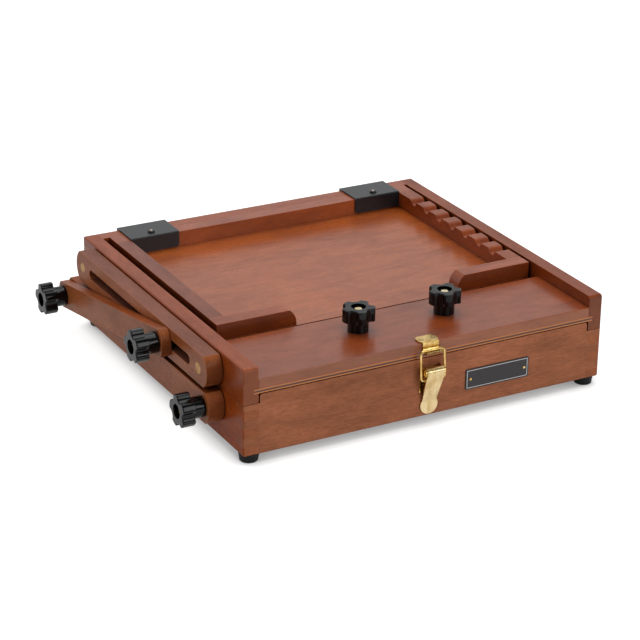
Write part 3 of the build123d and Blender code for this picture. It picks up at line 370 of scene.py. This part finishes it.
def brass(name, light, dark, roughness=0.16, bands=(1, 1, 1), texture=0.05, slotted=None):
    """Brass with a cloudy sheen. slotted names a pair of screws with one slot in each head."""
    t = material(name)
    cloud = t.noise(t.place(bands), scale=160, detail=3, roughness=0.6)
    colour = t.mix(t.ramp(cloud, *NARROW), light, dark)
    # Painted shade in the hollows of the brass.
    colour = t.mix(t.math("MULTIPLY", painted_hollow_shade(t, 0.003), 0.7), colour, tint(dark, 0.25))
    if slotted:
        # Painted shade in each screw's slot and round its rim.
        colour = t.mix(slot_and_rim(t, slotted), colour, SLOT_AND_RIM_SHADE)
    return t.shader(Base_Color=colour, Metallic=1.0,
                    Roughness=t.ramp(cloud, *WIDE, roughness - 0.05, roughness + 0.09),
                    Normal=t.normal(t.noise(t.place(), 2600), texture, METAL_RELIEF,
                                    METAL_ROUNDING))


def steel(name, colour, roughness):
    t = material(name)
    fine = t.noise(t.place(), 1200)
    shade = t.mix(t.ramp(fine, *NARROW), colour, tint(colour, 0.8))
    return t.shader(Base_Color=shade, Metallic=1.0,
                    Roughness=t.ramp(fine, *WIDE, roughness - 0.05, roughness + 0.07))


dress(brass("polished_brass", POLISHED, POLISHED_DARK),
      "latch_bail", "latch_base", "latch_pin", "strike",
      "name_plate_pins", "arm_pivot_bolt", "elbow_bolt", "slot_bolt",
      "hinge_base_leaves", "hinge_lid_leaves", "hinge_pins")
dress(brass("screw_brass", tint(POLISHED, 0.55), tint(POLISHED_DARK, 0.5), 0.22),
      "latch_base_screws", "hinge_base_screws", "hinge_lid_screws")
dress(brass("bolt_brass", (0.92, 0.80, 0.52), (0.82, 0.66, 0.34), 0.20), "clamp_bolts")
dress(brass("strike_screw_brass", POLISHED, POLISHED_DARK, slotted="strike_screws"),
      "strike_screws")
dress(brass("satin_brass", (0.93, 0.74, 0.42), (0.70, 0.50, 0.22), 0.25, (1, 1, 0.22), 0.02),
      "latch_lever")
dress(brass("aged_brass", (0.46, 0.25, 0.070), (0.28, 0.13, 0.030), 0.34),
      "bar_screws", "bar_washers", "arm_washer")
dress(steel("plain_steel", (0.56, 0.56, 0.57), 0.33), "foot_screws", "tripod_t_nut")

# ---- Plastic, paint and rubber ----------------------------------------------
KNOB_BLACK = (0.0015, 0.0018, 0.0025)
PLATE_BLACK = (0.036, 0.032, 0.036)
PLATE_LINE = (0.52, 0.52, 0.53)
WORN_PAINT = (0.20, 0.20, 0.21)
LINE_INSET = 0.0011
LINE_WIDTH = 0.0006
PAINT_RELIEF = 0.0001
PAINT_ROUNDING = 0.0003
KNOB_ROUNDING = 0.0006


def plastic(name):
    t = material(name)
    grain = t.noise(t.place(), 900)
    return t.shader(Base_Color=(*KNOB_BLACK, 1), Roughness=t.ramp(grain, *WIDE, 0.05, 0.11),
                    Specular_IOR_Level=0.30,
                    Normal=t.normal(grain, 0.04, PAINT_RELIEF, KNOB_ROUNDING))


def painted(name, colour, roughness, shine=0.5):
    """Dark paint or rubber, a little paler along its edges."""
    t = material(name)
    peel = t.noise(t.place(), 1800)
    worn = t.math("MULTIPLY", edge_share(t, 0.0006), t.ramp(peel, *NARROW, 0.1, 0.5))
    return t.shader(Base_Color=t.mix(worn, colour, WORN_PAINT),
                    Roughness=t.ramp(peel, *WIDE, roughness - 0.04, roughness + 0.06),
                    Specular_IOR_Level=shine,
                    Normal=t.normal(peel, 0.08, PAINT_RELIEF, PAINT_ROUNDING))


def bordered_plate(name, node):
    """Satin black plate with a thin bright line just inside its edge."""
    t = material(name)
    low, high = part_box(node)
    place = t.axes(t.place())

    def past_edge(axis):
        """How far the surface lies past the plate's edges on one axis, below zero inside."""
        middle, half = (low[axis] + high[axis]) / 2, (high[axis] - low[axis]) / 2
        return t.math("SUBTRACT", t.math("ABSOLUTE", t.math("SUBTRACT", place[axis], middle)), half)

    depth = t.math("MULTIPLY", t.math("MAXIMUM", past_edge(0), past_edge(2)), -1)
    on_line = t.math("MULTIPLY", t.math("GREATER_THAN", depth, LINE_INSET),
                     t.math("LESS_THAN", depth, LINE_INSET + LINE_WIDTH))
    peel = t.noise(t.place(), 1800)
    return t.shader(Base_Color=t.mix(on_line, PLATE_BLACK, PLATE_LINE), Metallic=on_line,
                    Roughness=t.ramp(peel, *WIDE, 0.30, 0.42), Specular_IOR_Level=0.4,
                    Normal=t.normal(peel, 0.06, PAINT_RELIEF, PAINT_ROUNDING))


dress(plastic("knob_black"), "top_knob_left", "top_knob_right", "front_knob", "elbow_knob",
      "slot_knob")
dress(painted("hook_paint", (0.009, 0.011, 0.014), 0.30), "tray_hooks")
dress(painted("hook_screw_paint", (0.010, 0.010, 0.011), 0.22), "hook_screws")
dress(painted("foot_rubber", (0.006, 0.006, 0.007), 0.50, 0.25), "feet")
dress(bordered_plate("plate_paint", "name_plate"), "name_plate")

# ---- Bare metal cores in the screws of the tray's hooks ----------------------
CORE_RADIUS = 0.0013
CORE_HEIGHT = 0.0006
CORE_SINK = 0.0002


def dome(name, place, radius, height, rings=6, sides=32):
    """A low round cap that stands on a point."""
    bm = bmesh.new()
    levels = []
    for ring in range(rings):
        angle = math.pi / 2 * ring / rings
        levels.append([bm.verts.new((radius * math.cos(angle) * math.cos(turn),
                                     radius * math.cos(angle) * math.sin(turn),
                                     height * math.sin(angle)))
                       for turn in (2 * math.pi * k / sides for k in range(sides))])
    top = bm.verts.new((0, 0, height))
    for lower, upper in zip(levels, levels[1:]):
        for k in range(sides):
            bm.faces.new((lower[k], lower[k - 1], upper[k - 1], upper[k]))
    for k in range(sides):
        bm.faces.new((levels[-1][k], levels[-1][k - 1], top))
    bm.faces.new(levels[0])
    bmesh.ops.recalc_face_normals(bm, faces=bm.faces)
    for face in bm.faces:
        face.smooth = len(face.verts) < 5
    bmesh.ops.translate(bm, verts=bm.verts, vec=place)
    mesh = bpy.data.meshes.new(name)
    bm.to_mesh(mesh)
    bm.free()
    piece = bpy.data.objects.new(name, mesh)
    bpy.context.scene.collection.objects.link(piece)
    return piece


low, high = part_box("hook_screws")
head_radius = (high.y - low.y) / 2
core_metal = steel("core_metal", (0.72, 0.52, 0.42), 0.28)
for side, x in (("left", low.x + head_radius), ("right", high.x - head_radius)):
    core = dome(f"hook_screw_core_{side}", (x, (low.y + high.y) / 2, high.z - CORE_SINK),
                CORE_RADIUS, CORE_HEIGHT)
    core.data.materials.append(core_metal)
    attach(core, "tray")

# ---- Stage and light -------------------------------------------------------
FLOOR_LEVEL = -0.008
FLOOR_REACH = 6.0
FLOOR_GREY = 0.52
FLOOR_SEEN = 0.88
FLOOR_REFLECTED = 0.50
CONTACT_REACH = 0.019
CONTACT_SHADE = 0.28
SKY_COLOUR = (1.0, 0.985, 0.97, 1)
SKY_LEVEL = 0.38
ROOM_IN_FRONT = 0.22


def floor():
    """A pale floor that shows white but for the soft shadow close to the object."""
    mesh = bpy.data.meshes.new("floor")
    reach = FLOOR_REACH
    mesh.from_pydata([(-reach, -reach, 0), (reach, -reach, 0), (reach, reach, 0),
                      (-reach, reach, 0)], [], [(0, 1, 2, 3)])
    item = bpy.data.objects.new("floor", mesh)
    item.location.z = FLOOR_LEVEL
    bpy.context.scene.collection.objects.link(item)
    t = material("floor_white")
    diffuse = t.add("ShaderNodeBsdfDiffuse", {"Color": (FLOOR_GREY, FLOOR_GREY, FLOOR_GREY, 1)})
    path = t.add("ShaderNodeLightPath").outputs
    seen = t.math("ADD", t.math("MULTIPLY", path["Is Camera Ray"], FLOOR_SEEN),
                  t.math("MULTIPLY", path["Is Glossy Ray"], FLOOR_REFLECTED))
    near = t.add("ShaderNodeAmbientOcclusion", {"Distance": CONTACT_REACH}, samples=16)
    contact = t.ramp(near.outputs["AO"], 0.30, 0.92, CONTACT_SHADE, 1.0)
    glow = t.add("ShaderNodeEmission", {"Color": (1, 1, 1, 1),
                                        "Strength": t.math("MULTIPLY", seen, contact)})
    both = t.add("ShaderNodeAddShader", {0: diffuse.outputs[0], 1: glow.outputs[0]})
    t.show(both.outputs[0])
    mesh.materials.append(t.owner)


def sky():
    """Soft even light. Polished pieces see a room that is dimmer in front of the box, which
    gives metal its dark bands."""
    world = bpy.data.worlds.new("studio")
    bpy.context.scene.world = world
    t = Tree(world, "ShaderNodeOutputWorld")
    path = t.add("ShaderNodeLightPath").outputs
    rearward = t.axes(t.add("ShaderNodeTexCoord").outputs["Generated"])[1]
    room = t.ramp(rearward, -0.10, 0.45, ROOM_IN_FRONT, 1.0)
    plain = t.add("ShaderNodeBackground", {"Color": SKY_COLOUR, "Strength": SKY_LEVEL})
    white = t.add("ShaderNodeBackground", {
        "Strength": t.math("MAXIMUM", room, path["Is Camera Ray"])})
    seen = t.math("MAXIMUM", path["Is Camera Ray"], path["Is Glossy Ray"])
    mix = t.add("ShaderNodeMixShader", {0: seen, 1: plain.outputs[0], 2: white.outputs[0]})
    t.show(mix.outputs[0])


def softbox(name, place, aim, size, power):
    data = bpy.data.lights.new(name, "AREA")
    data.shape = "RECTANGLE"
    data.size, data.size_y = size
    data.energy = power
    lamp = bpy.data.objects.new(name, data)
    bpy.context.scene.collection.objects.link(lamp)
    lamp.location = place
    direction = Vector(aim) - Vector(place)
    lamp.rotation_euler = direction.to_track_quat("-Z", "Y").to_euler()


floor()
sky()
softbox("over", place=(0.1, 0.3, 1.9), aim=(0, 0, 0), size=(1.6, 1.6), power=17)
softbox("front", place=(0.6, -2.2, 1.1), aim=(0, 0, 0.05), size=(1.4, 1.0), power=12.5)
softbox("left_strip", place=(-1.5, -0.9, 0.55), aim=(0, 0, 0.05), size=(0.12, 1.0), power=2.0)
softbox("right_strip", place=(1.6, -1.0, 0.60), aim=(0, 0, 0.05), size=(0.12, 1.0), power=2.5)
